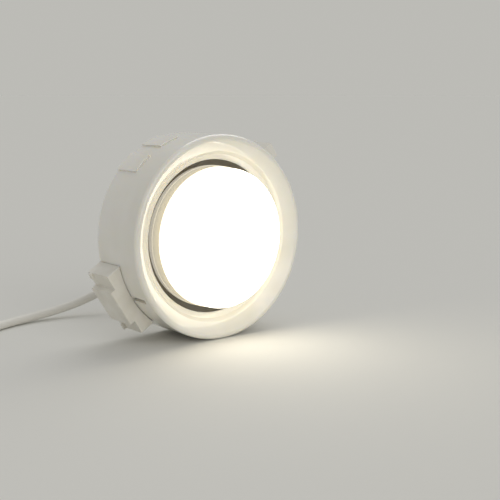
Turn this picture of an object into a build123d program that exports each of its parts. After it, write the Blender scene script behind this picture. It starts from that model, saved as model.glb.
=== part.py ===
from build123d import *
import os
from math import cos, pi, radians, sin, tan

# Recessed ceiling holder with a two-pin disc lamp, standing on its round side.
# The lamp axis runs along Y and the light shines towards -Y. Depths are counted
# back from the rim plane of the front ring, radii from the lamp axis, and bearings
# are degrees anticlockwise from +X, seen from the front.

# Disc lamp, the standard piece that everything else is made around
lamp_radius = 36.6
lamp_front_height = 5.0
diffuser_dome_height = 0.5
diffuser_round_radius = 1.3
diffuser_depth = 3.3
diffuser_inset_depth = 0.3
diffuser_draft_width = 0.3
lamp_shoulder_chamfer = 0.2
lamp_back_depth = 14.5
lamp_back_chamfer = 2.2
lamp_seat_clearance = 0.2
lamp_boss_radius = 14.0
lamp_boss_length = 9.0

# Drum and front ring, built up outwards from the lamp
lamp_gap_width = 3.4
throat_width = 2.8
flank_width = 1.6
face_width = 8.6
opening_radius = lamp_radius + lamp_gap_width
step_radius = opening_radius + throat_width
crest_radius = step_radius + flank_width
drum_radius = crest_radius + face_width
drum_depth = 34.0
wall_thickness = 1.8
rim_height = 2.85
rim_round_radius = 2.0
crest_depth = 3.2
crest_round_radius = 1.0
step_depth = 5.7
opening_depth = 7.6
face_bulge_height = 0.15

# Raised pads on the drum, square to the clips
pad_height = 0.9
pad_front_depth = 17.0
pad_arc_angle = 12.4
pad_gap_angle = 8.4

# Sliding clips
clip_bearing = 212.5
clip_length = 18.6
clip_depths = {"left": drum_depth - clip_length, "right": 7.0}
clip_half_width = 18.5
clip_end_height = 5.5
clip_mid_height = 8.5
clip_low_height = 3.0
clip_mid_half_width = 10.4
clip_plate_thickness = 2.2
clip_wall_thickness = 1.6
clip_clearance = 0.25
clip_edge_chamfer = 0.4
slot_front_depth = 4.0
slot_width = 2.6
tongue_width = 2.1
tongue_length = 15.4
head_width = 8.0
head_thickness = 1.6
ear_width = 3.0
ear_height = 1.4
ear_thickness = 1.6
ear_inset_depth = 2.4

# Rear cover
cover_thickness = 2.0
cover_recess_depth = 0.6
cover_clearance = 0.15
boss_radius = 3.5
boss_inset_depth = 5.0
boss_front_depth = 12.0
cover_screw_count = 4
screw_radius = 1.3
screw_clearance = 0.05
screw_head_radius = 2.6
cover_screw_length = 9.0
vent_count = 12
vent_width = 2.4
vent_length = 7.0
vent_inset_depth = 23.0
vent_start_angle = 17.5
cross_width = 0.6
cross_depth = 0.6
post_radius = 3.9

# Lamp holder
holder_radius = 35.0
holder_bore_radius = 15.5
holder_depth = 10.0
holder_plate_thickness = 2.4
holder_wall_thickness = 1.6
pin_pitch = 53.0
pin_neck_radius = 1.7
pin_head_radius = 2.7
pin_clearance = 0.3
pin_head_length = 2.6
twist_angle = 15.0
contact_thickness = 0.5
contact_depth = 4.0
contact_tab_depth = 6.4
contact_tail_angle = 12.0
holder_screw_circle_radius = 25.0
holder_screw_length = 14.0

# Cord, boot, wires and terminal block
cord_radius = 2.35
cord_exit_offset = 8.0
cord_exit_height = 35.0
boot_length = 20.0
boot_root_radius = 5.0
boot_tip_radius = 3.3
boot_neck_radius = 3.6
boot_flange_radius = 6.2
boot_collar_thickness = 1.6
boot_groove_count = 4
boot_groove_width = 1.4
boot_groove_depth = 0.9
wire_radius = 0.9
wire_spread_width = 1.2
wire_clearance = 0.2
block_length = 20.0
block_pitch = 10.6
barrel_radius = 3.9
turret_radius = 3.0
turret_height = 4.0
turret_recess_depth = 1.2
fixing_hole_radius = 1.3
insert_radius = 2.4
insert_bore_radius = 1.5
insert_length = 17.0
insert_clearance = 0.05
tail_length = 12.0
clamp_screw_radius = 1.5

# Section of the front ring and the drum: local x is depth, local y is radius. The front
# line runs from the drum over the rim, down the dished face, over the crest and down its
# flank and the throat to the opening, and the wall is laid on the inside of it.
drum_end = (drum_depth, drum_radius)
rim = (-rim_height, drum_radius)
crest = (crest_depth, crest_radius)
step = (step_depth, step_radius)
throat = (opening_depth, opening_radius)
with BuildSketch() as ring_section:
    with BuildLine() as ring_line:
        Line(drum_end, rim)
        SagittaArc(rim, crest, -face_bulge_height)
        Polyline(crest, step, throat)
        fillet(ring_line.vertices().sort_by_distance(rim)[0], rim_round_radius)
        fillet(ring_line.vertices().sort_by_distance(crest)[0], crest_round_radius)
        offset(amount=wall_thickness, side=Side.LEFT)
    make_face()

axis_height = drum_radius
rim_y = (lamp_front_height - drum_depth) / 2
lamp_axis = Axis((0, rim_y, axis_height), (0, 1, 0))
ear_reach = drum_radius + clip_end_height + ear_height
boss_circle_radius = drum_radius - boss_inset_depth
vent_circle_radius = drum_radius - vent_inset_depth
cover_back = drum_depth - cover_recess_depth
cover_front = cover_back - cover_thickness
holder_front = lamp_back_depth + lamp_seat_clearance
holder_back = holder_front + holder_depth
pin_bearing = clip_bearing - 90
pin_circle = pin_pitch / 2
floor_level = 0.0


# Plane through the lamp axis: local x is depth, local y is radius at that bearing
def meridian(bearing):
    return Plane(
        origin=(0, rim_y, axis_height),
        x_dir=(0, 1, 0),
        z_dir=(sin(radians(bearing)), 0, -cos(radians(bearing))),
    )


# Plane across the lamp axis: local y points out at that bearing, local z to the front
def across(depth, bearing=90.0):
    return Plane(
        origin=(0, rim_y + depth, axis_height),
        x_dir=(sin(radians(bearing)), 0, -cos(radians(bearing))),
        z_dir=(0, -1, 0),
    )


# Point at a bearing and radius, for sketches on the upright plane across the axis
def polar(radius, bearing):
    return (radius * cos(radians(bearing)), radius * sin(radians(bearing)))


# Spot for a screw head: local z points to the back (1) or to the front (-1)
def spot(point, depth, facing):
    return Plane(
        origin=(point[0], rim_y + depth, axis_height + point[1]),
        x_dir=(1, 0, 0),
        z_dir=(0, facing, 0),
    )


def finish_piece(piece, name):
    piece.part.label = name
    export_step(piece.part, f"parts/{name}.step")


os.makedirs("parts", exist_ok=True)

cover_screw_step = 360 / cover_screw_count
cover_screw_bearings = [clip_bearing + cover_screw_step * (i + 0.5) for i in range(cover_screw_count)]
cover_screw_points = [polar(boss_circle_radius, bearing) for bearing in cover_screw_bearings]
holder_screw_points = [polar(holder_screw_circle_radius, clip_bearing + turn) for turn in (0, 180)]

# Housing: the front ring and the drum are one hollow moulding
with BuildPart() as housing:
    with BuildSketch(meridian(90)):
        add(ring_section.sketch)
    revolve(axis=lamp_axis)
    # Raised pads in pairs, square to the clips
    for side in (-90, 90):
        for start in (pad_gap_angle / 2 + pad_arc_angle, -pad_gap_angle / 2):
            with BuildSketch(meridian(clip_bearing + side + start)):
                with BuildLine():
                    Polyline(
                        (pad_front_depth, drum_radius - wall_thickness / 2),
                        (pad_front_depth, drum_radius + pad_height),
                        (drum_depth, drum_radius + pad_height),
                        (drum_depth, drum_radius - wall_thickness / 2),
                        close=True,
                    )
                make_face()
            revolve(axis=lamp_axis, revolution_arc=pad_arc_angle)
    # Screw bosses for the rear cover grow out of the drum wall
    with BuildSketch(across(cover_front)):
        with Locations(*cover_screw_points):
            Circle(boss_radius)
        Circle(drum_radius - wall_thickness / 2, mode=Mode.INTERSECT)
    extrude(amount=cover_front - boss_front_depth)
    with BuildSketch(across(cover_front)):
        with Locations(*cover_screw_points):
            Circle(screw_radius + screw_clearance)
    extrude(amount=cover_screw_length, mode=Mode.SUBTRACT)
    # Guide slots of the clips, open at the back
    for turn in (0, 180):
        with BuildSketch(across(drum_depth, clip_bearing + turn)):
            with Locations((0, drum_radius - wall_thickness / 2)):
                Rectangle(slot_width, 3 * wall_thickness)
        extrude(amount=drum_depth - slot_front_depth, mode=Mode.SUBTRACT)
finish_piece(housing, "housing")

# Sliding clips: a stepped block cored from behind, held in its slot by a T-shaped tongue.
# The steps are the heights over the drum of one end, the middle and the other end.
clip_steps = {
    "left": (clip_end_height, clip_mid_height, clip_end_height),
    "right": (clip_end_height, clip_low_height, clip_low_height),
}
step_edges = (-clip_half_width, -clip_mid_half_width, clip_mid_half_width, clip_half_width)
seat_radius = drum_radius + clip_clearance
inner_radius = drum_radius - wall_thickness - clip_clearance
for clip_name, turn in (("left", 0), ("right", 180)):
    clip_front = across(clip_depths[clip_name], clip_bearing + turn)
    steps = clip_steps[clip_name]
    with BuildSketch() as clip_outline:
        for from_x, to_x, height in zip(step_edges, step_edges[1:], steps):
            with Locations(((from_x + to_x) / 2, (drum_radius + height) / 2)):
                Rectangle(to_x - from_x, drum_radius + height)
    with BuildPart() as clip:
        with BuildSketch(clip_front):
            add(clip_outline.sketch)
            Circle(seat_radius, mode=Mode.SUBTRACT)
        extrude(amount=-clip_length)
        with BuildSketch(clip_front.offset(-clip_plate_thickness)):
            add(clip_outline.sketch)
            offset(amount=-clip_wall_thickness, kind=Kind.INTERSECTION)
            with Locations((0, ear_reach / 2)):
                Rectangle(head_width, 2 * ear_reach, mode=Mode.SUBTRACT)
            Circle(seat_radius, mode=Mode.SUBTRACT)
        extrude(amount=clip_plate_thickness - clip_length, mode=Mode.SUBTRACT)
        # Ears at the back corners for the fingers, level on both clips
        with BuildSketch(clip_front.offset(ear_inset_depth - clip_length)):
            for side, height in ((-1, steps[0]), (1, steps[-1])):
                ear_foot = drum_radius + height - clip_wall_thickness / 2
                with Locations((side * (clip_half_width - ear_width / 2), (ear_foot + ear_reach) / 2)):
                    Rectangle(ear_width, ear_reach - ear_foot)
        extrude(amount=ear_thickness)
        # Tongue through the slot and its head inside the drum
        tongue_top = drum_radius + steps[1] - clip_wall_thickness
        tongue_foot = inner_radius - head_thickness / 2
        with BuildSketch(clip_front):
            with Locations((0, (tongue_top + tongue_foot) / 2)):
                Rectangle(tongue_width, tongue_top - tongue_foot)
        extrude(amount=-tongue_length)
        with BuildSketch(clip_front):
            Circle(inner_radius)
            Circle(inner_radius - head_thickness, mode=Mode.SUBTRACT)
            with Locations((0, inner_radius)):
                Rectangle(head_width, 4 * head_thickness, mode=Mode.INTERSECT)
        extrude(amount=-tongue_length)
        front_edges = clip.faces().filter_by(Axis.Y).sort_by(Axis.Y)[0].edges()
        chamfer(front_edges.filter_by(GeomType.LINE).sort_by(Edge.length)[-3:], clip_edge_chamfer)
    finish_piece(clip, f"clip_{clip_name}")

# Rear cover: vented disc in the mouth of the drum, with two posts for the lamp holder
with BuildPart() as rear_cover:
    with BuildSketch(across(cover_back)):
        Circle(drum_radius - wall_thickness - cover_clearance)
        with PolarLocations(vent_circle_radius, vent_count, vent_start_angle):
            SlotOverall(vent_length, vent_width, mode=Mode.SUBTRACT)
        with Locations((cord_exit_offset, cord_exit_height - axis_height)):
            Circle(boot_neck_radius + cover_clearance, mode=Mode.SUBTRACT)
    extrude(amount=cover_thickness)
    with BuildSketch(across(cover_front)):
        with Locations(*holder_screw_points):
            Circle(post_radius)
    extrude(amount=cover_front - holder_back)
    with BuildSketch(across(holder_back)):
        with Locations(*holder_screw_points):
            Circle(screw_radius + screw_clearance)
    extrude(amount=holder_depth - holder_screw_length, mode=Mode.SUBTRACT)
    with Locations(*[spot(point, cover_back, 1) for point in cover_screw_points]):
        CounterSinkHole(screw_radius + screw_clearance, screw_head_radius + screw_clearance, cover_thickness, 90)
finish_piece(rear_cover, "rear_cover")


# Countersunk cross-head screws standing in the given spots
def add_screws(spots, length):
    with Locations(*spots):
        Cylinder(screw_radius, length, align=(Align.CENTER, Align.CENTER, Align.MAX))
        Cone(
            bottom_radius=screw_radius,
            top_radius=screw_head_radius,
            height=screw_head_radius - screw_radius,
            align=(Align.CENTER, Align.CENTER, Align.MAX),
        )
        for turn in (0, 90):
            Box(
                1.2 * screw_head_radius,
                cross_width,
                2 * cross_depth,
                rotation=(0, 0, turn),
                mode=Mode.SUBTRACT,
            )


with BuildPart() as cover_screws:
    add_screws([spot(point, cover_back, 1) for point in cover_screw_points], cover_screw_length)
finish_piece(cover_screws, "cover_screws")

# Lamp holder: a ring-shaped channel open at the back, with two keyhole slots for the pins
holder_inside = holder_front + holder_plate_thickness
pin_paths = [CenterArc((0, 0), pin_circle, pin_bearing + turn, twist_angle) for turn in (0, 180)]
with BuildPart() as holder_base:
    with BuildSketch(meridian(90)):
        with BuildLine():
            Polyline(
                (holder_front, holder_bore_radius),
                (holder_front, holder_radius),
                (holder_back, holder_radius),
                (holder_back, holder_radius - holder_wall_thickness),
                (holder_inside, holder_radius - holder_wall_thickness),
                (holder_inside, holder_bore_radius + holder_wall_thickness),
                (holder_back, holder_bore_radius + holder_wall_thickness),
                (holder_back, holder_bore_radius),
                close=True,
            )
        make_face()
    revolve(axis=lamp_axis)
    with BuildSketch(across(holder_back)):
        with Locations(*holder_screw_points):
            Circle(post_radius)
    extrude(amount=holder_depth - holder_plate_thickness / 2)
    with Locations(*[spot(point, holder_front, -1) for point in holder_screw_points]):
        CounterSinkHole(screw_radius + screw_clearance, screw_head_radius + screw_clearance, holder_depth, 90)
    for pin_path in pin_paths:
        with BuildSketch(across(holder_front)):
            SlotArc(pin_path, 2 * (pin_neck_radius + pin_clearance))
            with Locations(pin_path @ 1):
                Circle(pin_head_radius + pin_clearance)
        extrude(amount=-holder_plate_thickness, mode=Mode.SUBTRACT)
finish_piece(holder_base, "holder_base")

with BuildPart() as holder_screws:
    add_screws([spot(point, holder_front, -1) for point in holder_screw_points], holder_screw_length)
finish_piece(holder_screws, "holder_screws")

# Contact leaves follow the path of the pin heads, on their outer side
leaf_radius = pin_circle + pin_head_radius + pin_clearance
for contact_name, turn in (("upper", 0), ("lower", 180)):
    with BuildPart() as contact:
        with BuildSketch(meridian(pin_bearing + turn + twist_angle)):
            with Locations((holder_inside + contact_depth / 2, leaf_radius + contact_thickness / 2)):
                Rectangle(contact_depth, contact_thickness)
        revolve(axis=lamp_axis, revolution_arc=twist_angle + contact_tail_angle)
        # Solder tab at the far end of the leaf
        with BuildSketch(meridian(pin_bearing + turn - contact_tail_angle / 2)):
            with Locations((holder_inside + contact_tab_depth / 2, leaf_radius + contact_thickness / 2)):
                Rectangle(contact_tab_depth, contact_thickness)
        revolve(axis=lamp_axis, revolution_arc=contact_tail_angle / 2)
    finish_piece(contact, f"contact_{contact_name}")

# Disc lamp: a closed moulded body with a central boss at the back
with BuildPart() as lamp_body:
    with BuildSketch(meridian(90)):
        with BuildLine():
            Polyline(
                (diffuser_depth, 0),
                (diffuser_depth, lamp_radius - lamp_shoulder_chamfer),
                (diffuser_depth + lamp_shoulder_chamfer, lamp_radius),
                (lamp_back_depth - lamp_back_chamfer, lamp_radius),
                (lamp_back_depth, lamp_radius - lamp_back_chamfer),
                (lamp_back_depth, lamp_boss_radius),
                (lamp_back_depth + lamp_boss_length, lamp_boss_radius),
                (lamp_back_depth + lamp_boss_length, 0),
                close=True,
            )
        make_face()
    revolve(axis=lamp_axis)
finish_piece(lamp_body, "lamp_body")

# Opal diffuser: a shallow dome with a rounded edge and a skirt that widens to the back
skirt_radius = lamp_radius - diffuser_inset_depth
dome_edge_radius = skirt_radius - diffuser_draft_width
dome_radius = (dome_edge_radius**2 + diffuser_dome_height**2) / (2 * diffuser_dome_height)
dome_edge = (diffuser_dome_height - lamp_front_height, dome_edge_radius)
with BuildPart() as lamp_diffuser:
    with BuildSketch(meridian(90)) as diffuser_section:
        with BuildLine():
            Line((diffuser_depth, 0), (-lamp_front_height, 0))
            RadiusArc((-lamp_front_height, 0), dome_edge, dome_radius)
            Line(dome_edge, (diffuser_depth, skirt_radius))
            Line((diffuser_depth, skirt_radius), (diffuser_depth, 0))
        make_face()
        fillet(diffuser_section.vertices().sort_by_distance(dome_edge)[0], diffuser_round_radius)
    revolve(axis=lamp_axis)
finish_piece(lamp_diffuser, "lamp_diffuser")

# Lamp pins: a neck in the slot and a head behind the holder plate
head_depth = holder_inside + pin_clearance
for pin_name, turn in (("upper", 0), ("lower", 180)):
    pin_point = polar(pin_circle, pin_bearing + turn)
    with BuildPart() as lamp_pin:
        with BuildSketch(across(lamp_back_depth)):
            with Locations(pin_point):
                Circle(pin_neck_radius)
        extrude(amount=lamp_back_depth - head_depth)
        with BuildSketch(across(head_depth)):
            with Locations(pin_point):
                Circle(pin_head_radius)
        extrude(amount=-pin_head_length)
        fillet(lamp_pin.edges().group_by(Axis.Y)[-1], pin_head_length / 4)
    finish_piece(lamp_pin, f"lamp_pin_{pin_name}")

# Strain relief boot: a grommet in the rear cover and a tapered tail with ring grooves
boot_plane = Plane(
    origin=(cord_exit_offset, rim_y + cover_back, cord_exit_height),
    x_dir=(0, 1, 0),
    z_dir=(1, 0, 0),
)
boot_groove_pitch = (boot_length - 2 * boot_collar_thickness) / boot_groove_count
with BuildPart() as cord_boot:
    with BuildSketch(boot_plane):
        with BuildLine():
            Polyline(
                (-cover_thickness - boot_collar_thickness, 0),
                (-cover_thickness - boot_collar_thickness, boot_flange_radius),
                (-cover_thickness, boot_flange_radius),
                (-cover_thickness, boot_neck_radius),
                (0, boot_neck_radius),
                (0, boot_flange_radius),
                (boot_collar_thickness, boot_flange_radius),
                (boot_collar_thickness, boot_root_radius),
                (boot_length, boot_tip_radius),
                (boot_length, 0),
                close=True,
            )
        make_face()
        for i in range(boot_groove_count):
            groove_at = boot_collar_thickness + boot_groove_pitch * (i + 0.8)
            groove_radius = boot_root_radius + (boot_tip_radius - boot_root_radius) * groove_at / boot_length
            with Locations((groove_at, groove_radius)):
                Rectangle(boot_groove_width, 2 * boot_groove_depth, mode=Mode.SUBTRACT)
    revolve(axis=Axis(boot_plane.origin, (0, 1, 0)))
finish_piece(cord_boot, "cord_boot")

# Cord: out of the boot, down to the floor behind the drum, then away to the left
cord_start = Vector(cord_exit_offset, rim_y + cover_back + boot_length, cord_exit_height)
cord_points = [
    cord_start,
    Vector(cord_exit_offset, 51, cord_exit_height),
    Vector(5.5, 62.5, 30.9),
    Vector(-1, 71.5, 23),
    Vector(-12.7, 77.2, 14.6),
    Vector(-26.8, 80.6, 8.4),
    Vector(-42, 82.4, 4.8),
    Vector(-58, 82.4, 2.9),
    Vector(-75, 79, 2.4),
    Vector(-91.5, 71.5, 2.4),
    Vector(-106.5, 61.8, 2.4),
]


# Fillet radius at each inner point of a route: 0.45 of the shorter run over tan of half the turn
def bend_radii(points):
    radii = []
    for before, corner, after in zip(points, points[1:], points[2:]):
        turn = (corner - before).get_angle(after - corner)
        shorter = min((corner - before).length, (after - corner).length)
        radii.append(0.45 * shorter / tan(radians(turn / 2)))
    return radii


# Round tube along a route of straight runs joined by tangent arcs
def make_tube(points, radius):
    with BuildPart() as tube:
        with BuildLine() as route:
            FilletPolyline(*points, radius=bend_radii(points))
        with BuildSketch(Plane(origin=points[0], z_dir=points[1] - points[0])):
            Circle(radius)
        sweep(path=route.wire())
    return tube


cord = make_tube(cord_points, cord_radius)
finish_piece(cord, "cord")
cord_section = pi * cord_radius**2
print("cord bend radii", [round(radius, 1) for radius in bend_radii(cord_points)])
print("cord length", round(cord.part.volume / cord_section, 1))

# Lead wires inside: from the inner end of the boot to the solder tabs of the contacts
wire_start_depth = cover_front - boot_collar_thickness
wire_turn_depth = holder_back + wire_clearance + wire_radius
tab_radius = leaf_radius + contact_thickness + wire_radius
tab_depth = holder_inside + contact_depth
for wire_name, turn, side in (("upper", 0, -1), ("lower", 180, 1)):
    tab_x, tab_z = polar(tab_radius, pin_bearing + turn - contact_tail_angle / 2)
    start_x = cord_exit_offset + side * wire_spread_width
    wire_points = [
        Vector(start_x, rim_y + wire_start_depth, cord_exit_height),
        Vector(start_x, rim_y + wire_turn_depth, cord_exit_height),
        Vector(tab_x, rim_y + wire_turn_depth, axis_height + tab_z),
        Vector(tab_x, rim_y + tab_depth, axis_height + tab_z),
    ]
    wire = make_tube(wire_points, wire_radius)
    finish_piece(wire, f"wire_{wire_name}")

# Terminal block: two barrels side by side, each with two screw turrets
cord_end = cord_points[-1]
cord_heading = cord_end - cord_points[-2]
block_plane = Plane(
    origin=(cord_end.X, cord_end.Y, floor_level),
    x_dir=(cord_heading.X, cord_heading.Y, 0),
    z_dir=(0, 0, 1),
)
barrel_axis_height = barrel_radius
barrel_start = tail_length
barrel_plane = Plane(
    origin=block_plane.from_local_coords((barrel_start, 0, barrel_axis_height)),
    x_dir=block_plane.y_dir,
    z_dir=block_plane.x_dir,
)
pole_points = [(-block_pitch / 2, 0), (block_pitch / 2, 0)]
turret_points = [
    (barrel_start + block_length * share, side * block_pitch / 2)
    for share in (0.25, 0.75)
    for side in (-1, 1)
]
turret_top = 2 * barrel_radius + turret_height
with BuildPart() as terminal_block:
    with BuildSketch(barrel_plane):
        with Locations(*pole_points):
            Circle(barrel_radius)
        with Locations((0, -barrel_radius / 2)):
            Rectangle(block_pitch, barrel_radius)
    extrude(amount=block_length)
    with BuildSketch(block_plane.offset(barrel_axis_height)):
        with Locations(*turret_points):
            Circle(turret_radius)
    extrude(amount=turret_top - barrel_axis_height)
    with BuildSketch(block_plane.offset(turret_top)):
        with Locations(*turret_points):
            Circle(clamp_screw_radius + screw_clearance)
    extrude(amount=-(turret_top - barrel_axis_height), mode=Mode.SUBTRACT)
    with BuildSketch(barrel_plane):
        with Locations(*pole_points):
            Circle(insert_radius + insert_clearance)
    extrude(amount=block_length, mode=Mode.SUBTRACT)
    with BuildSketch(block_plane.offset(turret_top)):
        with Locations((barrel_start + block_length / 2, 0)):
            Circle(fixing_hole_radius)
    extrude(amount=-turret_top, mode=Mode.SUBTRACT)
finish_piece(terminal_block, "terminal_block")

# Brass inserts clamp the bare cores under the screws
insert_inset = (block_length - insert_length) / 2
for insert_name, pole_point in zip(("a", "b"), pole_points):
    with BuildPart() as insert:
        with BuildSketch(barrel_plane.offset(insert_inset)):
            with Locations(pole_point):
                Circle(insert_radius)
                Circle(insert_bore_radius, mode=Mode.SUBTRACT)
        extrude(amount=insert_length)
    finish_piece(insert, f"terminal_insert_{insert_name}")

# Clamp screws stand on the inserts inside the turrets
screw_foot = barrel_axis_height + insert_radius
with BuildPart() as terminal_screws:
    with BuildSketch(block_plane.offset(screw_foot)):
        with Locations(*turret_points):
            Circle(clamp_screw_radius)
    extrude(amount=turret_top - turret_recess_depth - screw_foot)
    with BuildSketch(block_plane.offset(turret_top - turret_recess_depth)):
        with Locations(*turret_points):
            Rectangle(2 * clamp_screw_radius, cross_width)
    extrude(amount=-cross_depth, mode=Mode.SUBTRACT)
finish_piece(terminal_screws, "terminal_screws")

# Core tails: the two insulated cores fan out of the sheath into the block
for tail_name, side in (("a", -1), ("b", 1)):
    tail_points = [
        (0, side * wire_spread_width, cord_end.Z),
        (tail_length / 3, side * wire_spread_width, cord_end.Z),
        (tail_length * 3 / 4, side * block_pitch / 2, barrel_axis_height),
        (tail_length + insert_inset, side * block_pitch / 2, barrel_axis_height),
    ]
    tail = make_tube([block_plane.from_local_coords(point) for point in tail_points], wire_radius)
    finish_piece(tail, f"core_tail_{tail_name}")
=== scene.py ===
import math

import bmesh
import bpy
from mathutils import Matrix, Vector


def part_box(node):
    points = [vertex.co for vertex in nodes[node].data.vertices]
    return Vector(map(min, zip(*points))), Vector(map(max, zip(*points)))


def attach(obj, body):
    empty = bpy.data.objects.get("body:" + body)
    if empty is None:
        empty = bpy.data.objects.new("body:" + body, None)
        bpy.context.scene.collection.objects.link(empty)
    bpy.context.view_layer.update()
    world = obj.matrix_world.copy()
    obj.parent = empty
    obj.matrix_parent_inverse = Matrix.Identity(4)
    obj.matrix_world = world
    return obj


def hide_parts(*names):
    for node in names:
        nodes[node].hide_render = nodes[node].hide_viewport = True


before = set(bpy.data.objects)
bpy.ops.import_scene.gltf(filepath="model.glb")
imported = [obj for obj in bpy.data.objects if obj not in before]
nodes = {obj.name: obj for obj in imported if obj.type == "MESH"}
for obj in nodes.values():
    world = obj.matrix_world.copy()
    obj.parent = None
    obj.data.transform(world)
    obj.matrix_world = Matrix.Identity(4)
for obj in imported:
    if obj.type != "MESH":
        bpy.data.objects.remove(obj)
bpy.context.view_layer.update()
mm = 0.001  # the scene is in metres, and sizes are written in millimetres


# sRGB hex to linear colour; share is for a glow that is weaker than the colour as written
def hexLinear(code, share=1.0):
    channels = [int(code[i:i + 2], 16) / 255 for i in (1, 3, 5)]
    linear = [c / 12.92 if c <= 0.04045 else ((c + 0.055) / 1.055) ** 2.4 for c in channels]
    return (*[c * share for c in linear], 1.0)


# noise scale that gives lumps of about this many mm
def lumpScale(size):
    return 1 / (size * mm)


# adds one shader node: settings go to its sockets or its own fields, links feed its sockets;
# numbers stand for sockets that share a name, on Mix 0 for the share, 2 and 3 for values, 6 and 7 for colours
def addNode(tree, kind, settings=None, links=None):
    node = tree.nodes.new(kind)
    for name, value in (settings or {}).items():
        if isinstance(name, int) or name in node.inputs:
            node.inputs[name].default_value = value
        else:
            setattr(node, name, value)
    for name, source in (links or {}).items():
        tree.links.new(source, node.inputs[name])
    return node


def newMaterial(name):
    material = bpy.data.materials.new(name)
    material.use_nodes = True
    material.node_tree.nodes.clear()
    return material, material.node_tree


def finishMaterial(tree, shader):
    addNode(tree, "ShaderNodeOutputMaterial", links={"Surface": shader.outputs[0]})


print("stage: camera")
camera = {
    "place": (-310.1, -417.9, 127.5),     # mm, fitted to the ring and the clip in the photo
    "turn": (80.97, 0.0, -39.19),         # degrees
    "lens": 72.0, "sensor": 36.0,         # mm
    "nearest": 0.01, "farthest": 100.0,   # m
}
cameraData = bpy.data.cameras.new("photoCamera")
cameraData.lens = camera["lens"]
cameraData.sensor_width = camera["sensor"]
cameraData.clip_start = camera["nearest"]
cameraData.clip_end = camera["farthest"]
cameraObject = bpy.data.objects.new("photoCamera", cameraData)
cameraObject.location = Vector(camera["place"]) * mm
cameraObject.rotation_euler = [math.radians(angle) for angle in camera["turn"]]
bpy.context.scene.collection.objects.link(cameraObject)
bpy.context.scene.camera = cameraObject


print("stage: plastics")
moulding = {
    "cloudLow": 0.2, "cloudHigh": 0.8,       # noise levels at which the colour and the shade are pure
    "dustSize": 0.9,                         # mm, coarser than real dust so that it shows
    "dustLow": 0.66, "dustHigh": 0.74,       # noise levels at which a speck begins and is full
    "glossSwing": 0.04,                      # roughness, up and down
    "waveDepth": 0.05, "grainDepth": 0.04,   # mm
    "edgeSamples": 4,
    "bleedTint": (1.0, 0.85, 0.6),           # red light goes furthest into the plastic
    "skinRough": 0.07, "skinIor": 1.55,      # of the polished skin, where there is one
}


# Injection-moulded plastic: broad cloudy sheen from the flow, a few specks of dust, soft edges, faint waves in the
# skin and the tool's fine grain, which is drawn at about half a millimetre, coarser than it is, so that it shows
def mouldedPlastic(name, look):
    material, tree = newMaterial(name)
    spot = addNode(tree, "ShaderNodeTexCoord").outputs["Object"]
    cloud = addNode(tree, "ShaderNodeTexNoise", {"Scale": lumpScale(look["cloud"]), "Detail": 2.0}, {"Vector": spot})
    spread = addNode(tree, "ShaderNodeMapRange",
                     {"From Min": moulding["cloudLow"], "From Max": moulding["cloudHigh"],
                      "interpolation_type": "SMOOTHSTEP"},
                     {"Value": cloud.outputs["Fac"]})
    tint = addNode(tree, "ShaderNodeMix",
                   {"data_type": "RGBA", 6: hexLinear(look["colour"]), 7: hexLinear(look["shade"])},
                   {0: spread.outputs[0]})
    dust = addNode(tree, "ShaderNodeTexNoise", {"Scale": lumpScale(moulding["dustSize"]), "Detail": 2.0},
                   {"Vector": spot})
    specks = addNode(tree, "ShaderNodeMapRange",
                     {"From Min": moulding["dustLow"], "From Max": moulding["dustHigh"], "To Max": look["specks"]},
                     {"Value": dust.outputs["Fac"]})
    dusty = addNode(tree, "ShaderNodeMix", {"data_type": "RGBA", 7: hexLinear(look["dust"])},
                    {0: specks.outputs[0], 6: tint.outputs[2]})
    gloss = addNode(tree, "ShaderNodeMapRange",
                    {"To Min": look["rough"] - moulding["glossSwing"],
                     "To Max": look["rough"] + moulding["glossSwing"]},
                    {"Value": spread.outputs[0]})
    edge = addNode(tree, "ShaderNodeBevel", {"samples": moulding["edgeSamples"], "Radius": look["edge"] * mm})
    peel = addNode(tree, "ShaderNodeTexNoise", {"Scale": lumpScale(look["peel"]), "Detail": 1.0}, {"Vector": spot})
    wave = addNode(tree, "ShaderNodeBump", {"Strength": look["wave"], "Distance": moulding["waveDepth"] * mm},
                   {"Height": peel.outputs["Fac"], "Normal": edge.outputs[0]})
    grit = addNode(tree, "ShaderNodeTexNoise", {"Scale": lumpScale(look["grain"]), "Detail": 2.0}, {"Vector": spot})
    bump = addNode(tree, "ShaderNodeBump", {"Strength": look["relief"], "Distance": moulding["grainDepth"] * mm},
                   {"Height": grit.outputs["Fac"], "Normal": wave.outputs[0]})
    shader = addNode(tree, "ShaderNodeBsdfPrincipled",
                     {"IOR": look["ior"], "Subsurface Weight": look["depth"], "Subsurface Scale": look["bleed"] * mm,
                      "Subsurface Radius": moulding["bleedTint"], "Coat Weight": look["polish"],
                      "Coat Roughness": moulding["skinRough"], "Coat IOR": moulding["skinIor"]},
                     {"Base Color": dusty.outputs[2], "Roughness": gloss.outputs[0], "Normal": bump.outputs[0]})
    finishMaterial(tree, shader)
    return material


# in each dictionary: colours and how many specks show, what the shader takes, then the patterns, with cloud, peel,
# grain, edge and bleed in mm

# ABS from a polished tool: glossy white, slightly warm, with a clear line of light along the crest of the ring
polishedAbs = mouldedPlastic("mouldedWhiteAbs", {
    "colour": "#f2efe7", "shade": "#ebe7dc", "dust": "#d8d3c6", "specks": 0.03,
    "rough": 0.11, "polish": 0.8, "ior": 1.54, "depth": 0.6, "bleed": 2.5,
    "cloud": 22, "peel": 2.6, "wave": 0.01, "grain": 0.5, "relief": 0.012, "edge": 0.25,
})
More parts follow.
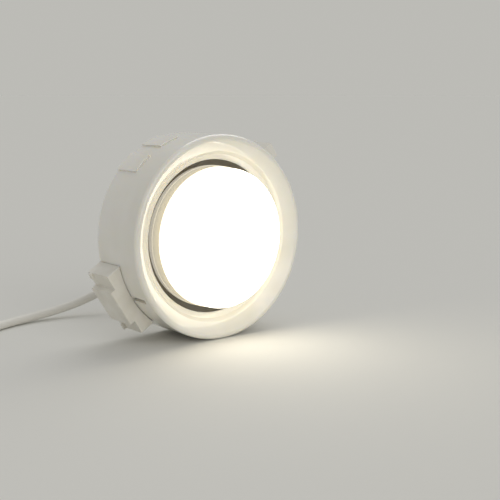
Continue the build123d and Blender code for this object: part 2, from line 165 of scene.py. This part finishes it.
# Nylon for the clips: a little greyer and waxier than the ring
waxyNylon = mouldedPlastic("mouldedNylon", {
    "colour": "#ece9e0", "shade": "#e3dfd3", "dust": "#cfcabd", "specks": 0.3,
    "rough": 0.42, "polish": 0.0, "ior": 1.53, "depth": 0.12, "bleed": 1.0,
    "cloud": 9, "peel": 1.8, "wave": 0.1, "grain": 0.45, "relief": 0.08, "edge": 0.3,
})
# ABS from a spark-eroded tool: an even matt grain all over
grainedAbs = mouldedPlastic("sparkTexturedAbs", {
    "colour": "#e9e6de", "shade": "#e2ded4", "dust": "#cdc8bc", "specks": 0.35,
    "rough": 0.56, "polish": 0.0, "ior": 1.54, "depth": 0.1, "bleed": 1.5,
    "cloud": 26, "peel": 1.2, "wave": 0.12, "grain": 0.6, "relief": 0.3, "edge": 0.25,
})
# Glass-filled PBT: chalky ivory with a coarse cloudiness from the fibres
chalkyPbt = mouldedPlastic("glassFilledPbt", {
    "colour": "#e8e2d3", "shade": "#dcd4c1", "dust": "#c5bca8", "specks": 0.4,
    "rough": 0.5, "polish": 0.0, "ior": 1.57, "depth": 0.0, "bleed": 1.0,
    "cloud": 5, "peel": 0.9, "wave": 0.12, "grain": 0.4, "relief": 0.15, "edge": 0.2,
})
# Polyethylene of the terminal block: milky and waxy, light goes well into it
milkyPolythene = mouldedPlastic("milkyPolyethylene", {
    "colour": "#eceae3", "shade": "#e2e0d8", "dust": "#c9c6bb", "specks": 0.3,
    "rough": 0.44, "polish": 0.0, "ior": 1.51, "depth": 0.6, "bleed": 2.5,
    "cloud": 6, "peel": 1.4, "wave": 0.12, "grain": 0.4, "relief": 0.1, "edge": 0.35,
})
# Soft PVC of the boot: matt and cloudy, like pale rubber
softPvc = mouldedPlastic("mouldedSoftPvc", {
    "colour": "#dcdad3", "shade": "#d1cec5", "dust": "#bdb9ae", "specks": 0.35,
    "rough": 0.58, "polish": 0.0, "ior": 1.53, "depth": 0.1, "bleed": 1.5,
    "cloud": 4, "peel": 1.1, "wave": 0.12, "grain": 0.35, "relief": 0.2, "edge": 0.3,
})


# Opal polycarbonate lit from behind: the whole cap glows warm white, its face and the rim next to the light board
# most, with a milky unevenness and a frosted skin, whose frost is drawn coarser than it is so that it shows
def opalPolycarbonate(name, look):
    material, tree = newMaterial(name)
    spot = addNode(tree, "ShaderNodeTexCoord").outputs["Object"]
    parts = addNode(tree, "ShaderNodeSeparateXYZ", links={0: spot})
    front, back = [corner.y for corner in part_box("lamp_diffuser")]
    edge = addNode(tree, "ShaderNodeMapRange",
                   {"From Min": front + look["roundStart"] * mm, "From Max": front + look["roundEnd"] * mm},
                   {"Value": parts.outputs["Y"]})
    side = addNode(tree, "ShaderNodeMapRange",
                   {"From Min": front + look["roundEnd"] * mm, "From Max": back, "To Min": look["sideShare"],
                    "To Max": look["boardShare"]},
                   {"Value": parts.outputs["Y"]})
    share = addNode(tree, "ShaderNodeMix", {2: 1.0}, {0: edge.outputs[0], 3: side.outputs[0]})
    milk = addNode(tree, "ShaderNodeTexNoise", {"Scale": lumpScale(look["milk"]), "Detail": 3.0}, {"Vector": spot})
    uneven = addNode(tree, "ShaderNodeMapRange", {"To Min": look["milkLow"], "To Max": look["milkHigh"]},
                     {"Value": milk.outputs["Fac"]})
    level = addNode(tree, "ShaderNodeMath", {"operation": "MULTIPLY"}, {0: share.outputs[0], 1: uneven.outputs[0]})
    light = addNode(tree, "ShaderNodeVectorMath", {"operation": "SCALE", 0: hexLinear(look["glow"])[:3]},
                    {"Scale": level.outputs[0]})
    frost = addNode(tree, "ShaderNodeTexNoise", {"Scale": lumpScale(look["frost"]), "Detail": 2.0}, {"Vector": spot})
    bump = addNode(tree, "ShaderNodeBump", {"Strength": look["relief"], "Distance": look["frostDepth"] * mm},
                   {"Height": frost.outputs["Fac"]})
    shader = addNode(tree, "ShaderNodeBsdfPrincipled",
                     {"Base Color": hexLinear(look["colour"]), "Roughness": look["rough"], "IOR": look["ior"],
                      "Emission Strength": look["strength"]},
                     {"Emission Color": light.outputs[0], "Normal": bump.outputs[0]})
    finishMaterial(tree, shader)
    return material


opalCap = opalPolycarbonate("opalPolycarbonate", {
    "colour": "#f3efe2", "rough": 0.42, "ior": 1.585,
    "glow": "#fff6e2", "strength": 4.5,
    "roundStart": 0.7, "roundEnd": 2.0,              # mm behind the face, where it rounds into the side
    "sideShare": 0.17, "boardShare": 0.46,           # of the face's glow
    "milk": 7, "milkLow": 0.94, "milkHigh": 1.06,    # mm, then how far the glow varies
    "frost": 0.4, "frostDepth": 0.04, "relief": 0.08,
})


# Ivory polycarbonate of the lamp body: its glow is partly the board's light through the thin wall and partly painted
# light that brightens the body in the shade behind the ring; warm next to the cap, paler and stronger further back,
# with soft clouds in its colour; its grain is drawn coarser than it is so that it shows
def leakAndPaintedGlowPolycarbonate(name, look):
    material, tree = newMaterial(name)
    spot = addNode(tree, "ShaderNodeTexCoord").outputs["Object"]
    parts = addNode(tree, "ShaderNodeSeparateXYZ", links={0: spot})
    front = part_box("lamp_body")[0].y
    depth = addNode(tree, "ShaderNodeMapRange", {"From Min": front, "From Max": front + look["reach"] * mm},
                    {"Value": parts.outputs["Y"]})
    # painted glow: emission that makes the body brighter than the board's light through its wall would, most further
    # back
    leakAndPaintedGlow = addNode(tree, "ShaderNodeMix",
                   {"data_type": "RGBA", 6: hexLinear(look["glow"], look["frontShare"]),
                    7: hexLinear(look["deepGlow"], look["deepShare"])},
                   {0: depth.outputs[0]})
    cloud = addNode(tree, "ShaderNodeTexNoise", {"Scale": lumpScale(look["cloud"]), "Detail": 3.0}, {"Vector": spot})
    tint = addNode(tree, "ShaderNodeMix",
                   {"data_type": "RGBA", 6: hexLinear(look["colour"]), 7: hexLinear(look["shade"])},
                   {0: cloud.outputs["Fac"]})
    grit = addNode(tree, "ShaderNodeTexNoise", {"Scale": lumpScale(look["grain"]), "Detail": 2.0}, {"Vector": spot})
    gloss = addNode(tree, "ShaderNodeMapRange", {"To Min": look["roughLow"], "To Max": look["roughHigh"]},
                    {"Value": cloud.outputs["Fac"]})
    bump = addNode(tree, "ShaderNodeBump", {"Strength": look["relief"], "Distance": look["grainDepth"] * mm},
                   {"Height": grit.outputs["Fac"]})
    shader = addNode(tree, "ShaderNodeBsdfPrincipled",
                     {"IOR": look["ior"], "Emission Strength": look["strength"]},
                     {"Base Color": tint.outputs[2], "Roughness": gloss.outputs[0], "Normal": bump.outputs[0],
                      "Emission Color": leakAndPaintedGlow.outputs[2]})
    finishMaterial(tree, shader)
    return material


# the lamp body's glow is partly painted light, which brightens it where it lies in shade
lampIvory = leakAndPaintedGlowPolycarbonate("mouldedIvoryPolycarbonate", {
    "colour": "#efe9d8", "shade": "#e6dfca", "roughLow": 0.36, "roughHigh": 0.5, "ior": 1.585,
    "glow": "#f3e8c8", "frontShare": 0.5,                    # at the front, next to the cap
    "deepGlow": "#f2eee4", "deepShare": 0.88, "reach": 9.5,  # full from this many mm behind the front
    "strength": 0.42,
    "cloud": 8, "grain": 0.45, "grainDepth": 0.04, "relief": 0.08,
})

extrusion = {"glossSwing": 0.07, "relief": 0.12, "skinDepth": 0.05, "ior": 1.53}


# Extruded PVC: smooth from the die, with faint clouds in its colour and a low gloss; the skin's grain is drawn
# coarser than it is so that it shows
def extrudedPvc(name, look):
    material, tree = newMaterial(name)
    spot = addNode(tree, "ShaderNodeTexCoord").outputs["Object"]
    cloud = addNode(tree, "ShaderNodeTexNoise", {"Scale": lumpScale(look["cloud"]), "Detail": 3.0}, {"Vector": spot})
    tint = addNode(tree, "ShaderNodeMix",
                   {"data_type": "RGBA", 6: hexLinear(look["colour"]), 7: hexLinear(look["shade"])},
                   {0: cloud.outputs["Fac"]})
    gloss = addNode(tree, "ShaderNodeMapRange",
                    {"To Min": look["rough"] - extrusion["glossSwing"],
                     "To Max": look["rough"] + extrusion["glossSwing"]},
                    {"Value": cloud.outputs["Fac"]})
    skin = addNode(tree, "ShaderNodeTexNoise", {"Scale": lumpScale(look["grain"]), "Detail": 2.0}, {"Vector": spot})
    bump = addNode(tree, "ShaderNodeBump",
                   {"Strength": extrusion["relief"], "Distance": extrusion["skinDepth"] * mm},
                   {"Height": skin.outputs["Fac"]})
    shader = addNode(tree, "ShaderNodeBsdfPrincipled", {"IOR": extrusion["ior"]},
                     {"Base Color": tint.outputs[2], "Roughness": gloss.outputs[0], "Normal": bump.outputs[0]})
    finishMaterial(tree, shader)
    return material


whitePvc = extrudedPvc("extrudedWhitePvc", {
    "colour": "#e4e2db", "shade": "#d6d3c9", "rough": 0.46, "cloud": 16, "grain": 0.7,
})
brownPvc = extrudedPvc("extrudedBrownPvc", {
    "colour": "#5f3821", "shade": "#4c2b18", "rough": 0.38, "cloud": 5, "grain": 0.5,
})
bluePvc = extrudedPvc("extrudedBluePvc", {
    "colour": "#2a5b98", "shade": "#204a80", "rough": 0.38, "cloud": 5, "grain": 0.5,
})


print("stage: metals")
metalwork = {"brighter": 0.08, "duller": 0.14, "markDepth": 0.03}  # roughness down and up, then mm


# Small metal parts: a bright skin with tarnish clouds and marks from the tool that made it, drawn at about a quarter
# of a millimetre so that they show
def workedMetal(name, look):
    material, tree = newMaterial(name)
    spot = addNode(tree, "ShaderNodeTexCoord").outputs["Object"]
    tarnish = addNode(tree, "ShaderNodeTexNoise",
                      {"Scale": lumpScale(look["cloud"]), "Detail": 5.0, "Roughness": 0.65}, {"Vector": spot})
    tint = addNode(tree, "ShaderNodeMix",
                   {"data_type": "RGBA", 6: hexLinear(look["colour"]), 7: hexLinear(look["tarnish"])},
                   {0: tarnish.outputs["Fac"]})
    gloss = addNode(tree, "ShaderNodeMapRange",
                    {"To Min": look["rough"] - metalwork["brighter"], "To Max": look["rough"] + metalwork["duller"]},
                    {"Value": tarnish.outputs["Fac"]})
    along = addNode(tree, "ShaderNodeMapping", {"Scale": look["stretch"]}, {"Vector": spot})
    marks = addNode(tree, "ShaderNodeTexNoise", {"Scale": lumpScale(look["marks"]), "Detail": 2.0},
                    {"Vector": along.outputs[0]})
    bump = addNode(tree, "ShaderNodeBump", {"Strength": look["relief"], "Distance": metalwork["markDepth"] * mm},
                   {"Height": marks.outputs["Fac"]})
    shader = addNode(tree, "ShaderNodeBsdfPrincipled", {"Metallic": 1.0},
                     {"Base Color": tint.outputs[2], "Roughness": gloss.outputs[0], "Normal": bump.outputs[0]})
    finishMaterial(tree, shader)
    return material


# Zinc-plated steel: cool grey with a faint yellow bloom
zincSteel = workedMetal("zincPlatedSteel", {
    "colour": "#b4b6b9", "tarnish": "#9d988c", "rough": 0.34, "cloud": 1.5,
    "stretch": (1.0, 1.0, 1.0), "marks": 0.3, "relief": 0.2,
})
# Nickel plate on turned brass: lathe rings round the pin, so the marks are stretched across its axis
nickelPin = workedMetal("nickelPlatedBrass", {
    "colour": "#c3bdb0", "tarnish": "#a89f8c", "rough": 0.24, "cloud": 2.0,
    "stretch": (0.1, 1.0, 0.1), "marks": 0.25, "relief": 0.25,
})
# Rolled brass strip and drawn brass tube: warm yellow with streaks and brown tarnish
rolledBrass = workedMetal("rolledBrass", {
    "colour": "#d0aa5c", "tarnish": "#9c7838", "rough": 0.3, "cloud": 2.5,
    "stretch": (0.2, 1.0, 1.0), "marks": 0.3, "relief": 0.2,
})


print("stage: finishes")
wears = {
    "housing": polishedAbs, "clip_left": waxyNylon, "clip_right": waxyNylon, "rear_cover": grainedAbs,
    "holder_base": chalkyPbt, "lamp_body": lampIvory, "lamp_diffuser": opalCap, "lamp_pin_upper": nickelPin,
    "lamp_pin_lower": nickelPin, "contact_upper": rolledBrass, "contact_lower": rolledBrass,
    "terminal_insert_a": rolledBrass, "terminal_insert_b": rolledBrass, "cover_screws": zincSteel,
    "holder_screws": zincSteel, "terminal_screws": zincSteel, "cord_boot": softPvc, "wire_upper": brownPvc,
    "core_tail_a": brownPvc, "wire_lower": bluePvc, "core_tail_b": bluePvc, "terminal_block": milkyPolythene,
}
smoothAngle = 32.0  # degrees: edges sharper than this stay crisp


def dress(mesh, finish):
    mesh.materials.clear()
    mesh.materials.append(finish)
    mesh.shade_smooth()
    mesh.set_sharp_from_angle(angle=math.radians(smoothAngle))


for name, finish in wears.items():
    dress(nodes[name].data, finish)


print("stage: moulded details")
lampAxis = {"height": 53.0, "rimPlane": -14.5}  # mm; depths are counted back from the rim plane, as in the model


# closed ring round the lamp axis: outline is a closed loop of (depth, radius, swell), and swell grows into ribs
def turnedRing(name, outline, look, finish, body):
    steps = look["steps"]
    points, faces = [], []
    for i in range(steps):
        angle = 2 * math.pi * i / steps
        rise = 0.5 + 0.5 * math.cos(angle * look["ribs"])  # 1 on a rib, 0 between two
        for depth, radius, swell in outline:
            reach = radius + swell * rise
            points.append(Vector((reach * math.cos(angle), lampAxis["rimPlane"] + depth,
                                  lampAxis["height"] + reach * math.sin(angle))) * mm)
        here, there = i * len(outline), (i + 1) % steps * len(outline)
        for k in range(len(outline)):
            following = (k + 1) % len(outline)
            faces.append((here + k, here + following, there + following, there + k))
    mesh = bpy.data.meshes.new(name)
    mesh.from_pydata(points, [], faces)
    shell = bmesh.new()
    shell.from_mesh(mesh)
    bmesh.ops.recalc_face_normals(shell, faces=shell.faces)
    shell.to_mesh(mesh)
    shell.free()
    dress(mesh, finish)
    ring = bpy.data.objects.new(name, mesh)
    bpy.context.scene.collection.objects.link(ring)
    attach(ring, body)


# lip round the lamp's side, as the photo shows, with fine grip ribs behind it
grip = {
    "radius": 36.6, "front": 9.2, "back": 12.1,     # mm, the lamp's side and where the grip lies on it
    "lipWidth": 0.6, "lipHeight": 0.25,
    "ribs": 180, "ribHeight": 0.18, "runOut": 0.4,  # the ribs die away over the run-out at both ends
    "sink": 0.02, "root": 0.3,                      # how far the valleys and the ring's inside lie under the side
    "steps": 1440,
}
gripRoot, gripLow = grip["radius"] - grip["root"], grip["radius"] - grip["sink"]
lipTop, lipBack = grip["radius"] + grip["lipHeight"], grip["front"] + grip["lipWidth"]
turnedRing("gripRibs", [
    (grip["front"], gripRoot, 0.0), (grip["front"], lipTop, 0.0), (lipBack, lipTop, 0.0), (lipBack, gripLow, 0.0),
    (lipBack + grip["runOut"], gripLow, grip["ribHeight"]),
    (grip["back"] - grip["runOut"], gripLow, grip["ribHeight"]),
    (grip["back"], gripLow, 0.0), (grip["back"], gripRoot, 0.0),
], grip, lampIvory, "lamp")

# low stiffening bead on the rear cover, outside the vents
bead = {
    "radius": 38.0, "face": 33.4,                   # mm, its middle and the cover's face
    "halfWidth": 0.8, "shoulder": 0.48,             # from its middle
    "height": 0.4, "shoulderHeight": 0.3, "root": 0.3,
    "ribs": 0, "steps": 192,
}
beadFlank = [
    (bead["face"] - bead["root"], bead["halfWidth"]),
    (bead["face"], bead["halfWidth"]),
    (bead["face"] + bead["shoulderHeight"], bead["shoulder"]),
]
turnedRing("coverBead", [
    *[(depth, bead["radius"] - half, 0.0) for depth, half in beadFlank],
    (bead["face"] + bead["height"], bead["radius"], 0.0),
    *[(depth, bead["radius"] + half, 0.0) for depth, half in reversed(beadFlank)],
], bead, grainedAbs, "fitting")


print("stage: cord")
cord = {
    "route": [
        (8, 38.9, 35), (8, 51, 35), (5.5, 62.5, 30.9), (-1, 71.5, 23), (-12.7, 77.2, 14.6), (-26.8, 80.6, 8.4),
        (-42, 82.4, 4.8), (-58, 82.4, 2.9), (-75, 79, 2.4), (-91.5, 71.5, 2.4), (-106.5, 61.8, 2.4),
    ],  # mm, as the solid's route
    "radius": 2.35,
    "length": 153.8,
    "roundness": 8,    # how finely the tube is divided round and along
    "smoothness": 12,
}
cordCurve = bpy.data.curves.new("cordSheath", "CURVE")
cordCurve.dimensions = "3D"
cordCurve.bevel_depth = cord["radius"] * mm
cordCurve.bevel_resolution = cord["roundness"]
cordCurve.use_fill_caps = True
cordSpline = cordCurve.splines.new("NURBS")
cordSpline.points.add(len(cord["route"]) - 1)
for point, place in zip(cordSpline.points, cord["route"]):
    point.co = (*(Vector(place) * mm), 1.0)
cordSpline.order_u = 3  # after the points, or the spline stays straight between them
cordSpline.use_endpoint_u = True
cordSpline.resolution_u = cord["smoothness"]
cordObject = bpy.data.objects.new("cordSheath", cordCurve)
bpy.context.scene.collection.objects.link(cordObject)
cordCurve.materials.append(whitePvc)
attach(cordObject, "fitting")
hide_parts("cord")


print("stage: floor and light")
studio = {
    "floorColour": "#dddcd6",
    "floorRadius": 30.0,  # m
    "floorSides": 96,
    "worldStrength": 0.46,
    # wide, soft and even all over the floor, with the spread in degrees; the back light keeps clear of the direction
    # that the top of the drum mirrors to the camera
    "lamps": {
        "frontLight": {"towards": (0.1, 1.5, -0.6), "spread": 50.0, "strength": 0.55},
        "backLight": {"towards": (-0.6, -0.4, -0.9), "spread": 50.0, "strength": 0.7},
    },
}
# how bright a white, matt floor is in the light of the room and the lamps
floorLevel = studio["worldStrength"]
for look in studio["lamps"].values():
    floorLevel += look["strength"] / math.pi * -Vector(look["towards"]).normalized().z

# matt paint, with no gloss at all, so that the far floor keeps the same shade
bpy.ops.mesh.primitive_circle_add(vertices=studio["floorSides"], radius=studio["floorRadius"], fill_type="NGON")
floor = bpy.context.object
floor.name = "floor"
floorMaterial, floorTree = newMaterial("paleTable")
finishMaterial(floorTree, addNode(floorTree, "ShaderNodeBsdfPrincipled",
                                  {"Base Color": hexLinear(studio["floorColour"]), "Roughness": 1.0,
                                   "Specular IOR Level": 0.0}))
floor.data.materials.append(floorMaterial)

# the room is seen in the shade that the far floor has, so there is no horizon
world = bpy.data.worlds.new("softRoom")
bpy.context.scene.world = world
world.use_nodes = True
worldTree = world.node_tree
worldTree.nodes.clear()
room = addNode(worldTree, "ShaderNodeBackground",
               {"Color": (1.0, 1.0, 1.0, 1.0), "Strength": studio["worldStrength"]})
seen = addNode(worldTree, "ShaderNodeBackground",
               {"Color": hexLinear(studio["floorColour"]), "Strength": floorLevel})
ray = addNode(worldTree, "ShaderNodeLightPath")
direct = addNode(worldTree, "ShaderNodeMath", {"operation": "MAXIMUM"},
                 {0: ray.outputs["Is Camera Ray"], 1: ray.outputs["Is Glossy Ray"]})
shown = addNode(worldTree, "ShaderNodeMath", {"operation": "MAXIMUM"},
                {0: direct.outputs[0], 1: ray.outputs["Is Transmission Ray"]})
sky = addNode(worldTree, "ShaderNodeMixShader", links={0: shown.outputs[0], 1: room.outputs[0], 2: seen.outputs[0]})
addNode(worldTree, "ShaderNodeOutputWorld", links={"Surface": sky.outputs[0]})

for name, look in studio["lamps"].items():
    lampData = bpy.data.lights.new(name, "SUN")
    lampData.angle = math.radians(look["spread"])
    lampData.energy = look["strength"]
    lampObject = bpy.data.objects.new(name, lampData)
    lampObject.rotation_euler = Vector(look["towards"]).to_track_quat("-Z", "Y").to_euler()
    bpy.context.scene.collection.objects.link(lampObject)

bpy.context.scene.view_settings.view_transform = "Standard"

print("stage: done")
